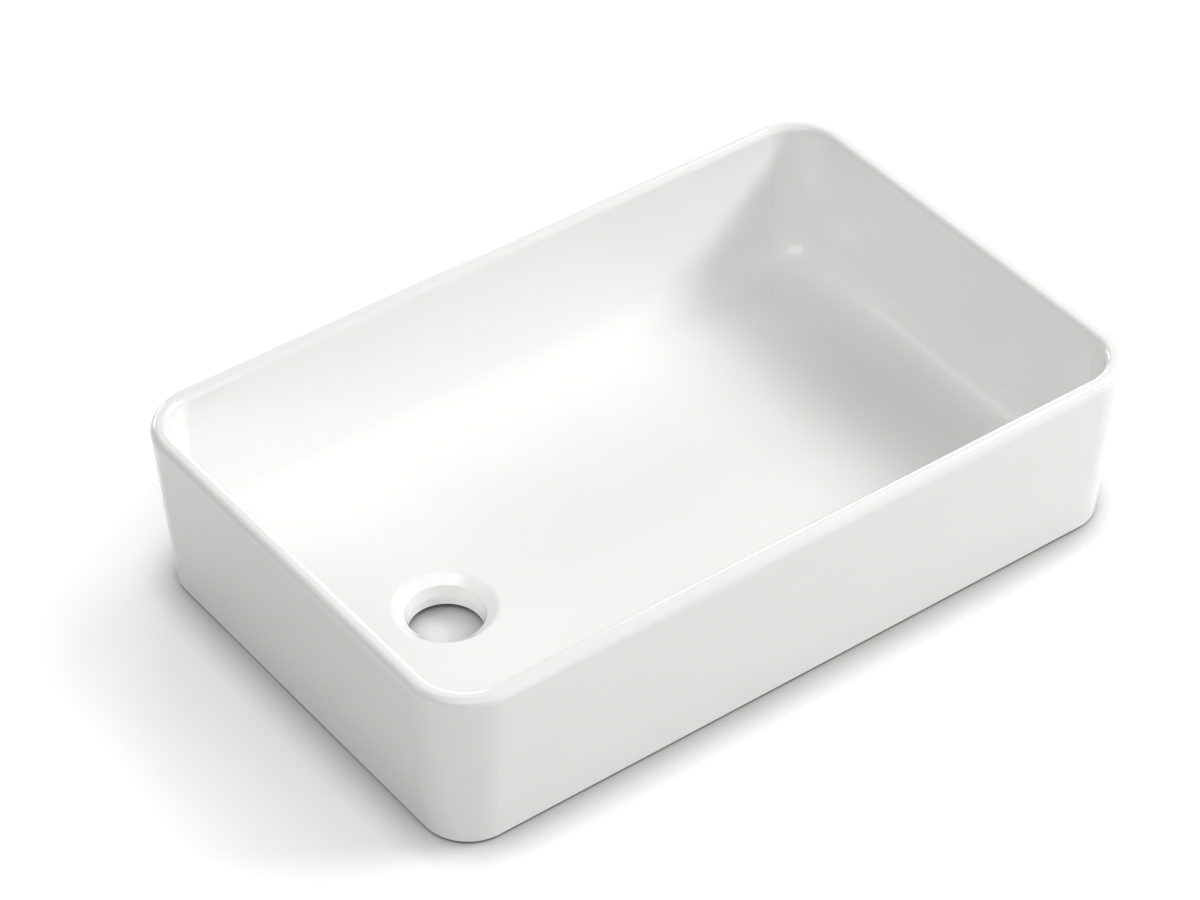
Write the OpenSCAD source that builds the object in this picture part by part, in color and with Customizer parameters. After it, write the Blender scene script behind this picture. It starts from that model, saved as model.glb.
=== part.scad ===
// Rectangular countertop basin: one glazed ceramic casting with slim tapered walls,
// a flat floor and an open waste hole near one end, on an unglazed foot ring.
// The origin is the middle of the foot's ground face, with the length along X and +Z up.
// The waste hole lies towards -X.

/* [Overall size] */
// Length over the rim
basin_length = 510; // [430:1:640]
// Width over the rim
basin_width = 328; // [270:1:420]
// Height from the counter to the top of the rim
basin_height = 117; // [90:1:150]
// Plan radius of the outer corners at the rim
corner_radius = 41; // [38:0.5:70]
// Lean of the walls from upright, in degrees
wall_draft = 4.65; // [2:0.05:6]

/* [Rim and wall] */
// Thickness of the rim, from its outermost to its innermost face
rim_thickness = 11.3; // [10.6:0.1:13]
// Radius of the rim's outer edge
rim_outer_radius = 8; // [4:0.1:8]
// Radius of the rim's inner edge
rim_inner_radius = 2.5; // [1:0.1:2.5]

/* [Floor] */
// Height of the bowl's floor above the counter
floor_height = 21; // [18:0.5:30]
// Thickness of the floor
floor_thickness = 11; // [8:0.5:12]
// Radius of the cove between the walls and the floor
cove_radius = 20; // [10:0.5:22]

/* [Waste hole] */
// Distance of the waste hole from the middle of the basin, along its length
waste_offset = 143; // [60:1:150]
// Radius of the straight bore
waste_bore_radius = 22.5; // [20:0.25:24]
// Length of the straight bore
waste_bore_length = 8; // [5:0.5:9]
// Radius of the bore's flared top, where the seat begins
waste_flare_radius = 24.2; // [24.1:0.1:26]
// Radius of the conical seat where it meets the floor
waste_seat_radius = 31; // [29:0.5:36]
// Depth of the conical seat below the floor
waste_seat_depth = 5; // [3:0.25:6]
// Radius of the soft edge between the floor and the seat
waste_seat_edge = 5; // [2:0.25:6]
// Radius of the edges at both ends of the bore
waste_bore_edge = 1; // [0.5:0.1:1.2]

/* [Underside] */
// Height of the wall's lower edge above the counter
skirt_gap = 1; // [0.5:0.1:2]
// Radius of the wall's lower outer edge
skirt_edge = 2; // [1:0.1:3]
// Thickness of the skirt round the foot ring
skirt_thickness = 6; // [5:0.5:8]
// Width of the foot ring
foot_width = 13; // [8:0.5:16]
// Radius of the foot ring's lower edges
foot_edge = 1; // [0.5:0.1:2]
// Radius of the boss round the waste hole
boss_radius = 40; // [34:0.5:46]
// Height of the boss's lower face above the counter
boss_gap = 1.5; // [1:0.1:2.5]
// Radius of the boss's lower edge
boss_edge = 2; // [1:0.1:3]
// Radius of the cove where the boss meets the underside
boss_cove = 4; // [2:0.25:5]

/* [Hidden] */
$fn = 96;

// Overrun of the cuts past the faces that they open
overrun = 1;

// The walls are swept round four corner centres; d is the distance outward from them
corner_x = basin_length / 2 - corner_radius;
corner_y = basin_width / 2 - corner_radius;

// Centres of the rim's two edge arcs
rim_outer_d = corner_radius - rim_outer_radius;
rim_outer_z = basin_height - rim_outer_radius;
rim_inner_d = corner_radius - rim_thickness + rim_inner_radius;
rim_inner_z = basin_height - rim_inner_radius;

// Place of the leaning outer and inner faces at a given height
function outer_d(z) = rim_outer_d
    + (rim_outer_radius + (z - rim_outer_z) * sin(wall_draft)) / cos(wall_draft);
function inner_d(z) = rim_inner_d
    - (rim_inner_radius + (rim_inner_z - z) * sin(wall_draft)) / cos(wall_draft);

// Underside of the floor, and both faces of the foot ring
underside_z = floor_height - floor_thickness;
foot_outer_d = outer_d(skirt_gap) - skirt_thickness;
foot_inner_d = foot_outer_d - foot_width;

// Direction of the conical seat, in degrees from level
waste_seat_z = floor_height - waste_seat_depth;
seat_slope = atan2(waste_seat_depth, waste_seat_radius - waste_flare_radius);
bore_top_z = boss_gap + waste_bore_length;
flare_lean = atan2(waste_flare_radius - waste_bore_radius, waste_seat_z - bore_top_z);

// A point at a distance along a direction, in degrees from +X
function along(p, angle, distance) = [p[0] + distance * cos(angle), p[1] + distance * sin(angle)];

// What a round of radius r takes off, or a cove adds, where two edges leave point p
// in directions a and b
module corner_round(p, a, b, r) {
    half = abs(b - a) / 2;
    run = r / tan(half);
    middle = along(p, (a + b) / 2, r / sin(half));
    difference() {
        polygon([p, along(p, a, run), middle, along(p, b, run)]);
        translate(middle) circle(r);
    }
}

// Section through a wall and the floor beside it, from the corner centres outward
module wall_section() {
    lean = wall_draft;
    rim_out = [outer_d(basin_height), basin_height];
    rim_in = [inner_d(basin_height), basin_height];
    floor_in = [inner_d(floor_height), floor_height];
    skirt_out = [outer_d(skirt_gap), skirt_gap];
    difference() {
        union() {
            polygon([
                [0, floor_height],
                floor_in,
                rim_in,
                rim_out,
                skirt_out,
                [foot_outer_d, skirt_gap],
                [foot_outer_d, underside_z],
                [0, underside_z]
            ]);
            corner_round(floor_in, 90 - lean, 180, cove_radius);
        }
        corner_round(rim_out, 180, 270 - lean, rim_outer_radius);
        corner_round(rim_in, -90 - lean, 0, rim_inner_radius);
        corner_round(skirt_out, 90 - lean, 180, skirt_edge);
    }
}

// Section through the foot ring
module foot_section() {
    difference() {
        translate([foot_inner_d, 0]) square([foot_width, underside_z]);
        corner_round([foot_outer_d, 0], 90, 180, foot_edge);
        corner_round([foot_inner_d, 0], 0, 90, foot_edge);
    }
}

// Sweep a section round the basin: two long sides, two ends and four corners
module swept_round() {
    for (side = [0, 180]) {
        rotate(side) translate([-corner_x, corner_y, 0]) side_run(2 * corner_x) children();
        rotate(side) translate([corner_x, corner_y, 0]) rotate(-90) side_run(2 * corner_y) children();
    }
    for (x = [-1, 1], y = [-1, 1]) {
        translate([x * corner_x, y * corner_y, 0])
            rotate(y > 0 ? 45 - 45 * x : 225 + 45 * x)
                rotate_extrude(angle = 90) children();
    }
}

// A straight run of a section along X, with the section's outward side towards +Y
module side_run(run) {
    rotate([90, 0, 90]) linear_extrude(run) children();
}

// Section of the waste hole: straight bore, flare, conical seat and their edges
module waste_section() {
    floor_edge = [waste_seat_radius, floor_height];
    seat_edge = [waste_flare_radius, waste_seat_z];
    bore_foot = [waste_bore_radius, boss_gap];
    polygon([
        [0, boss_gap - overrun],
        [waste_bore_radius, boss_gap - overrun],
        [waste_bore_radius, bore_top_z],
        seat_edge,
        floor_edge,
        [waste_seat_radius, floor_height + overrun],
        [0, floor_height + overrun]
    ]);
    corner_round(floor_edge, -180 + seat_slope, 0, waste_seat_edge);
    corner_round(seat_edge, -90 - flare_lean, seat_slope, waste_bore_edge);
    corner_round(bore_foot, 0, 90, waste_bore_edge);
}

// Section of the boss under the floor, with a cove at its root
module boss_section() {
    difference() {
        translate([0, boss_gap]) square([boss_radius, floor_height - floor_thickness / 2 - boss_gap]);
        corner_round([boss_radius, boss_gap], 90, 180, boss_edge);
    }
    corner_round([boss_radius, underside_z], -90, 0, boss_cove);
}

module basin() {
    color("white") difference() {
        union() {
            swept_round() wall_section();
            translate([-corner_x, -corner_y, underside_z])
                cube([2 * corner_x, 2 * corner_y, floor_thickness]);
            translate([-waste_offset, 0, 0]) rotate_extrude() boss_section();
        }
        translate([-waste_offset, 0, 0]) rotate_extrude() waste_section();
    }
}

module foot_ring() {
    color("antiquewhite") swept_round() foot_section();
}

basin();
foot_ring();
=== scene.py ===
"""Looks of the countertop basin: glossy white glaze, unglazed foot ring, white studio floor."""
import math

import bpy
from mathutils import Matrix, Vector


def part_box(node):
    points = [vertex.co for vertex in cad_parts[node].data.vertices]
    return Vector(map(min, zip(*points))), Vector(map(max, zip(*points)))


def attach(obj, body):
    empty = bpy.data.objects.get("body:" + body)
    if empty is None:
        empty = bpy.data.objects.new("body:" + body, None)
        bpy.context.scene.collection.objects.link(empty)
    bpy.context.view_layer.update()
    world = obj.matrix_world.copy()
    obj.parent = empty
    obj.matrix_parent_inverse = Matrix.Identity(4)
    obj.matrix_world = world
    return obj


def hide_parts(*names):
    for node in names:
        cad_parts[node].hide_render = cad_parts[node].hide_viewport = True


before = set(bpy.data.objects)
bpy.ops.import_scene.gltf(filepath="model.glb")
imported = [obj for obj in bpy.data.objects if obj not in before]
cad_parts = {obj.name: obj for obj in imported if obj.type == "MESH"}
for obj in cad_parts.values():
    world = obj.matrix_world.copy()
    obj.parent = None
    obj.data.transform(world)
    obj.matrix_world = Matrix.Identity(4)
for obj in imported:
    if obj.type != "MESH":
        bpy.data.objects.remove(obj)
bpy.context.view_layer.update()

MM = 0.001
QUARTER = math.pi / 2

# The camera's place, direction and focal length, fitted to the basin's edges in the photo
PHOTO_WIDTH = 1200
FOCAL_PIXELS = 4427.8
SENSOR_WIDTH = 36.0
CAMERA_AT = (-1217.5 * MM, -1573.6 * MM, 1766.7 * MM)
CAMERA_AZIMUTH = math.radians(-37.031)
CAMERA_ELEVATION = math.radians(40.482)
CAMERA_ROLL = math.radians(0.084)
CLIP_START, CLIP_END = 0.05, 100

# The finishes: stops of their ramps as (position, value), and what doesn't vary
GLAZE_TONES = (0.3, (0.896, 0.896, 0.893)), (0.7, (0.907, 0.907, 0.904))
GLAZE_ROUGHNESS = (0.3, (0.03, 0.03, 0.03)), (0.7, (0.05, 0.05, 0.05))
GLAZE_IOR = 1.52
BISQUE_TONES = (0.3, (0.62, 0.57, 0.49)), (0.65, (0.78, 0.74, 0.67))
BISQUE_ROUGHNESS = 0.85

# The glazed body's section and plan, in millimetres, as fitted to the photo
BODY_LENGTH = 508.0
BODY_WIDTH = 324.0
BODY_HEIGHT = 117.0
CORNER_RADIUS = 39.0
WALL_LEAN = math.radians(4.55)
RIM_THICKNESS = 11.3
RIM_OUTER_RADIUS = 5.0
RIM_INNER_RADIUS = 4.5
BOWL_FLOOR = 22.0
COVE_RADIUS = 20.0
SKIRT_GAP = 1.0
SKIRT_EDGE = 2.0
CORNER_X = BODY_LENGTH / 2 - CORNER_RADIUS
CORNER_Y = BODY_WIDTH / 2 - CORNER_RADIUS

# The waste hole and the boss round it, in millimetres
WASTE_X = -143.0
SEAT_RADIUS = 31.0
SEAT_DEPTH = 5.0
SEAT_EDGE = 5.0
FLARE_RADIUS = 24.2
BORE_RADIUS = 22.5
BORE_LENGTH = 6.5
BORE_EDGE = 1.0
BOSS_RADIUS = 40.0
BOSS_GAP = 3.0
BOSS_EDGE = 2.0
BOSS_COVE = 4.0

# Steps along each corner, round the hole and over each arc of a section
CORNER_STEPS = 24
HOLE_STEPS = 144
ARC_STEPS = 10

# Steps round the hole at which the two seams of a flat face, at 20 and 240 degrees, meet it
SEAM_FIRST = HOLE_STEPS // 18
SEAM_LAST = HOLE_STEPS * 2 // 3

# Places nearer than this, in millimetres, are one place
SAME_PLACE = 1e-6
PLACE_DIGITS = 5

# The floor: half its size and its drop in metres, its grey, the light it gives back to the
# camera, and how far and how fast the painted shade round the basin reaches and falls off
FLOOR_REACH = 12.0
FLOOR_DROP = 0.0001
FLOOR_GREY = 0.8
FLOOR_LIFT = 0.54
PAINTED_HALO_SHADE_REACH = 0.12
PAINTED_HALO_SHADE_FALL = 1.9
PAINTED_CONTACT_SHADE_REACH = 0.026
SHADE_SAMPLES = 8

# The surround gives no light: it is only seen
WORLD_FILL = 0.0

# Every lamp's distance from the basin, in metres
LAMP_DISTANCE = 4


def add_camera():
    """The camera at the photo's viewing angle."""
    level = math.cos(CAMERA_ELEVATION)
    back = Vector(
        (
            math.sin(CAMERA_AZIMUTH) * level,
            -math.cos(CAMERA_AZIMUTH) * level,
            math.sin(CAMERA_ELEVATION),
        )
    )
    right = Vector((math.cos(CAMERA_AZIMUTH), math.sin(CAMERA_AZIMUTH), 0))
    right = Matrix.Rotation(CAMERA_ROLL, 3, back) @ right
    up = back.cross(right)
    data = bpy.data.cameras.new("camera")
    data.sensor_fit = "HORIZONTAL"
    data.sensor_width = SENSOR_WIDTH
    data.lens = FOCAL_PIXELS / PHOTO_WIDTH * SENSOR_WIDTH
    data.clip_start = CLIP_START
    data.clip_end = CLIP_END
    camera = bpy.data.objects.new("camera", data)
    axes = Matrix((right, up, back)).transposed().to_4x4()
    camera.matrix_world = Matrix.Translation(CAMERA_AT) @ axes
    bpy.context.scene.collection.objects.link(camera)
    bpy.context.scene.camera = camera


def emptied_tree(owner):
    """The emptied node tree of a material or a world: its nodes and its links."""
    owner.use_nodes = True
    owner.node_tree.nodes.clear()
    return owner.node_tree.nodes, owner.node_tree.links


def new_material(name):
    """A node material with nothing but a Principled shader: material, nodes, links, shader."""
    material = bpy.data.materials.new(name)
    nodes, links = emptied_tree(material)
    output = nodes.new("ShaderNodeOutputMaterial")
    shader = nodes.new("ShaderNodeBsdfPrincipled")
    links.new(shader.outputs["BSDF"], output.inputs["Surface"])
    return material, nodes, links, shader


def noise(nodes, links, scale, detail, roughness=0.5):
    """The factor of a noise texture over the object's own coordinates."""
    place = nodes.new("ShaderNodeTexCoord")
    texture = nodes.new("ShaderNodeTexNoise")
    texture.inputs["Scale"].default_value = scale
    texture.inputs["Detail"].default_value = detail
    texture.inputs["Roughness"].default_value = roughness
    links.new(place.outputs["Object"], texture.inputs["Vector"])
    return texture.outputs["Fac"]


def ramp(nodes, links, factor, stops):
    """A colour ramp on a factor, between two stops."""
    colours = nodes.new("ShaderNodeValToRGB")
    for element, (position, colour) in zip(colours.color_ramp.elements, stops):
        element.position = position
        element.color = (*colour, 1)
    links.new(factor, colours.inputs["Fac"])
    return colours.outputs["Color"]


def bump(nodes, links, height, strength, distance):
    """The normal of a surface with a bump of a height."""
    node = nodes.new("ShaderNodeBump")
    node.inputs["Strength"].default_value = strength
    node.inputs["Distance"].default_value = distance
    links.new(height, node.inputs["Height"])
    return node.outputs["Normal"]


def glaze_material():
    """Glossy white glaze: faintly uneven tone and gloss, and a slow ripple in the surface."""
    material, nodes, links, shader = new_material("glaze")
    cloud = noise(nodes, links, scale=14, detail=3)
    links.new(ramp(nodes, links, cloud, GLAZE_TONES), shader.inputs["Base Color"])
    links.new(ramp(nodes, links, cloud, GLAZE_ROUGHNESS), shader.inputs["Roughness"])
    shader.inputs["IOR"].default_value = GLAZE_IOR
    ripple = noise(nodes, links, scale=28, detail=1)
    waves = bump(nodes, links, ripple, strength=0.12, distance=0.0006)
    links.new(waves, shader.inputs["Normal"])
    return material


def bisque_material():
    """Unglazed fired clay, ground flat: warm off-white, speckled, matt and gritty."""
    material, nodes, links, shader = new_material("bisque")
    cloud = noise(nodes, links, scale=60, detail=6, roughness=0.65)
    links.new(ramp(nodes, links, cloud, BISQUE_TONES), shader.inputs["Base Color"])
    shader.inputs["Roughness"].default_value = BISQUE_ROUGHNESS
    grit = noise(nodes, links, scale=1800, detail=3, roughness=0.7)
    grain = bump(nodes, links, grit, strength=0.5, distance=0.0003)
    links.new(grain, shader.inputs["Normal"])
    return material


def arc(middle, radius, start, stop, hollow=False):
    """Points of an arc in a section, each with its normal, for angles in radians."""
    side = -1 if hollow else 1
    rows = []
    for step in range(ARC_STEPS + 1):
        angle = start + (stop - start) * step / ARC_STEPS
        c, s = math.cos(angle), math.sin(angle)
        rows.append((middle[0] + radius * c, middle[1] + radius * s, side * c, side * s))
    return rows


def corner_middle(point, first, second, radius):
    """Centre of the round between two edges that leave a point in two directions."""
    half = (second - first) / 2
    reach = radius / math.sin(half)
    return point[0] + reach * math.cos(first + half), point[1] + reach * math.sin(first + half)


def wall_rows(skirt_inner, underside):
    """The wall's section from the underside over the rim to the floor.

    Each row is a distance outward from the corner centres, a height, and the normal there.
    """
    rise, run = math.sin(WALL_LEAN), math.cos(WALL_LEAN)
    rim_out = CORNER_RADIUS - RIM_OUTER_RADIUS, BODY_HEIGHT - RIM_OUTER_RADIUS
    rim_in = CORNER_RADIUS - RIM_THICKNESS + RIM_INNER_RADIUS, BODY_HEIGHT - RIM_INNER_RADIUS
    skirt_z = SKIRT_GAP + SKIRT_EDGE
    skirt_d = rim_out[0] + (RIM_OUTER_RADIUS - SKIRT_EDGE + (skirt_z - rim_out[1]) * rise) / run
    cove_z = BOWL_FLOOR + COVE_RADIUS
    cove_d = rim_in[0] - (RIM_INNER_RADIUS + COVE_RADIUS + (rim_in[1] - cove_z) * rise) / run
    return (
        [
            (skirt_inner, underside, -1, 0),
            (skirt_inner, SKIRT_GAP, -1, 0),
            (skirt_inner, SKIRT_GAP, 0, -1),
        ]
        + arc((skirt_d, skirt_z), SKIRT_EDGE, -QUARTER, -WALL_LEAN)
        + arc(rim_out, RIM_OUTER_RADIUS, -WALL_LEAN, QUARTER)
        + arc(rim_in, RIM_INNER_RADIUS, QUARTER, math.pi - WALL_LEAN)
        + arc((cove_d, cove_z), COVE_RADIUS, -WALL_LEAN, -QUARTER, hollow=True)
    )


def waste_rows(underside):
    """The waste hole's section from the floor down through the seat and bore to the boss."""
    seat_z = BOWL_FLOOR - SEAT_DEPTH
    bore_top = BOSS_GAP + BORE_LENGTH
    seat = math.atan2(SEAT_DEPTH, SEAT_RADIUS - FLARE_RADIUS)
    flare = math.atan2(FLARE_RADIUS - BORE_RADIUS, seat_z - bore_top)
    top = corner_middle((SEAT_RADIUS, BOWL_FLOOR), seat - math.pi, 0, SEAT_EDGE)
    rim = corner_middle((FLARE_RADIUS, seat_z), -QUARTER - flare, seat, BORE_EDGE)
    foot = BORE_RADIUS + BORE_EDGE, BOSS_GAP + BORE_EDGE
    boss = BOSS_RADIUS - BOSS_EDGE, BOSS_GAP + BOSS_EDGE
    root = BOSS_RADIUS + BOSS_COVE, underside - BOSS_COVE
    return (
        arc(top, SEAT_EDGE, QUARTER, QUARTER + seat)
        + arc(rim, BORE_EDGE, QUARTER + seat, math.pi - flare)
        + [
            (BORE_RADIUS, bore_top, -math.cos(flare), math.sin(flare)),
            (BORE_RADIUS, bore_top, -1, 0),
        ]
        + arc(foot, BORE_EDGE, math.pi, 3 * QUARTER)
        + arc(boss, BOSS_EDGE, -QUARTER, 0)
        + arc(root, BOSS_COVE, math.pi, QUARTER, hollow=True)
    )


def swept(rows, stations):
    """Rings of corners, each a place and a normal, one ring for each row of a section."""
    return [
        [((x + d * c, y + d * s, z), (n * c, n * s, up)) for x, y, c, s in stations]
        for d, z, n, up in rows
    ]


def skin(rings):
    """Four-sided faces between rings, leaving out pairs of rings in the same place."""
    faces = []
    for low, high in zip(rings, rings[1:]):
        if math.dist(low[0][0], high[0][0]) < SAME_PLACE:
            continue
        for i in range(len(low)):
            j = (i + 1) % len(low)
            faces.append([low[i], low[j], high[j], high[i]])
    return faces


def annulus(outer, inner, up):
    """Two flat faces between a ring and a ring inside it, facing up or down."""
    half = len(outer) // 2
    near = inner[SEAM_FIRST:SEAM_LAST + 1]
    far = inner[SEAM_LAST:] + inner[:SEAM_FIRST + 1]
    cut = [outer[:half + 1] + near[::-1], outer[half:] + outer[:1] + far[::-1]]
    if not up:
        cut = [face[::-1] for face in cut]
    return [[(place, (0, 0, 1 if up else -1)) for place, _ in face] for face in cut]


def corner_stations():
    """Stations round the four corners: a corner centre and the direction outward from it."""
    stations = []
    for turn, (x, y) in enumerate(((1, 1), (-1, 1), (-1, -1), (1, -1))):
        for step in range(CORNER_STEPS + 1):
            angle = QUARTER * (turn + step / CORNER_STEPS)
            stations.append((x * CORNER_X, y * CORNER_Y, math.cos(angle), math.sin(angle)))
    return stations


def hole_stations():
    """Stations round the waste hole: its centre and the direction outward from it."""
    turns = (math.tau * step / HOLE_STEPS for step in range(HOLE_STEPS))
    return [(WASTE_X, 0, math.cos(turn), math.sin(turn)) for turn in turns]


def glazed_body():
    """The basin's body with the rim's real edges, one closed mesh, in place of the CAD node."""
    ring_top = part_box("foot_ring")[1]
    underside = ring_top[2] / MM
    skirt_inner = ring_top[1] / MM - CORNER_Y
    wall = swept(wall_rows(skirt_inner, underside), corner_stations())
    waste = swept(waste_rows(underside), hole_stations())
    faces = skin(wall) + skin(waste)
    faces += annulus(wall[-1], waste[0], True) + annulus(wall[0], waste[-1], False)
    places, index, polygons, normals = [], {}, [], []
    for face in faces:
        polygon = []
        for place, normal in face:
            key = tuple(round(c, PLACE_DIGITS) for c in place)
            if key not in index:
                index[key] = len(places)
                places.append([c * MM for c in place])
            polygon.append(index[key])
            normals.append(normal)
        polygons.append(polygon)
    mesh = bpy.data.meshes.new("glazed_body")
    mesh.from_pydata(places, [], polygons)
    mesh.shade_smooth()
    mesh.normals_split_custom_set(normals)
    mesh.materials.append(glaze_material())
    body = bpy.data.objects.new("glazed_body", mesh)
    bpy.context.scene.collection.objects.link(body)
    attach(body, "root")
    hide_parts("basin")


def dress(node, material):
    """Give a CAD node its finished material."""
    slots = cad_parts[node].data.materials
    slots.clear()
    slots.append(material)


def calculate(nodes, links, operation, first, second):
    """The result of a Math node on a socket and on another socket or a number."""
    node = nodes.new("ShaderNodeMath")
    node.operation = operation
    links.new(first, node.inputs[0])
    if isinstance(second, float):
        node.inputs[1].default_value = second
    else:
        links.new(second, node.inputs[1])
    return node.outputs[0]


def seen_directly(nodes, links):
    """1 for rays of the camera and in reflections, and 0 for all others."""
    path = nodes.new("ShaderNodeLightPath").outputs
    return calculate(nodes, links, "MAXIMUM", path["Is Camera Ray"], path["Is Glossy Ray"])


def occlusion(nodes, reach):
    """An ambient occlusion node that looks for anything within its reach, in metres."""
    node = nodes.new("ShaderNodeAmbientOcclusion")
    node.samples = SHADE_SAMPLES
    node.inputs["Distance"].default_value = reach
    return node


def floor_material():
    """Pale matt floor, lifted to white where it is seen directly, with a painted shade round the
    basin: ambient occlusion darkens its colour and its glow where it is seen directly.
    """
    material = bpy.data.materials.new("floor")
    nodes, links = emptied_tree(material)
    output = nodes.new("ShaderNodeOutputMaterial")
    grey = (FLOOR_GREY, FLOOR_GREY, FLOOR_GREY, 1)
    # Painted contact shade: for the camera and reflections, ambient occlusion darkens the floor's
    # colour near the basin
    painted_contact_shade = occlusion(nodes, PAINTED_CONTACT_SHADE_REACH)
    painted_contact_shade.inputs["Color"].default_value = grey
    seen = seen_directly(nodes, links)
    tone = nodes.new("ShaderNodeMix")
    tone.data_type = "RGBA"
    tone.inputs["A"].default_value = grey
    links.new(seen, tone.inputs["Factor"])
    links.new(painted_contact_shade.outputs["Color"], tone.inputs["B"])
    diffuse = nodes.new("ShaderNodeBsdfDiffuse")
    links.new(tone.outputs["Result"], diffuse.inputs["Color"])
    # Painted shade: ambient occlusion fades the floor's glow to the camera and reflections round
    # the basin
    painted_halo_openness = occlusion(nodes, PAINTED_HALO_SHADE_REACH).outputs["AO"]
    fall = calculate(nodes, links, "POWER", painted_halo_openness, PAINTED_HALO_SHADE_FALL)
    shaded = calculate(nodes, links, "MULTIPLY", seen, fall)
    lift = calculate(nodes, links, "MULTIPLY", shaded, FLOOR_LIFT)
    glow = nodes.new("ShaderNodeEmission")
    links.new(lift, glow.inputs["Strength"])
    add = nodes.new("ShaderNodeAddShader")
    links.new(diffuse.outputs[0], add.inputs[0])
    links.new(glow.outputs[0], add.inputs[1])
    links.new(add.outputs[0], output.inputs["Surface"])
    return material


def add_floor():
    """A white seamless floor that keeps the basin's shadow, has a painted shade round the basin,
    and looks white to the camera.
    """
    bpy.ops.mesh.primitive_plane_add(size=2 * FLOOR_REACH, location=(0, 0, -FLOOR_DROP))
    floor = bpy.context.object
    floor.name = "floor"
    floor.data.materials.append(floor_material())


def set_world():
    """A surround that is pure white where the camera or a reflection sees it."""
    world = bpy.data.worlds.new("studio")
    bpy.context.scene.world = world
    nodes, links = emptied_tree(world)
    output = nodes.new("ShaderNodeOutputWorld")
    fill = nodes.new("ShaderNodeBackground")
    fill.inputs["Strength"].default_value = WORLD_FILL
    white = nodes.new("ShaderNodeBackground")
    mix = nodes.new("ShaderNodeMixShader")
    links.new(seen_directly(nodes, links), mix.inputs[0])
    links.new(fill.outputs[0], mix.inputs[1])
    links.new(white.outputs[0], mix.inputs[2])
    links.new(mix.outputs[0], output.inputs["Surface"])


def add_softbox(name, azimuth, elevation, width, height, power):
    """A rectangular lamp facing the basin: degrees for its direction, metres and watts."""
    a, e = math.radians(azimuth), math.radians(elevation)
    aim = Vector((math.cos(a) * math.cos(e), math.sin(a) * math.cos(e), math.sin(e)))
    data = bpy.data.lights.new(name, "AREA")
    data.shape = "RECTANGLE"
    data.size = width
    data.size_y = height
    data.energy = power
    lamp = bpy.data.objects.new(name, data)
    lamp.rotation_mode = "QUATERNION"
    lamp.rotation_quaternion = aim.to_track_quat("Z", "Y")
    lamp.location = aim * LAMP_DISTANCE
    bpy.context.scene.collection.objects.link(lamp)


def add_lamps():
    """Large far lamps: the key from the right, others above, behind, at the left and in front."""
    add_softbox("key", -31, 35, 1.25, 0.9, 70.5)
    add_softbox("key_side", -10, 35, 1.4, 1.0, 34.5)
    add_softbox("high", 16, 49, 1.7, 1.1, 27)
    add_softbox("back_right", 52, 18, 1.4, 1.1, 32.5)
    add_softbox("back", 90, 18, 1.6, 1.1, 35)
    add_softbox("corner", 144, 45, 2.4, 1.9, 14.5)
    add_softbox("left", 210, 48, 2.8, 2.4, 43)
    add_softbox("front_left", 238, 54, 2.8, 2.2, 22)
    add_softbox("front", 278, 24, 2.1, 1.0, 14)


add_camera()
glazed_body()
dress("foot_ring", bisque_material())
add_floor()
set_world()
add_lamps()
bpy.context.scene.view_settings.view_transform = "Standard"
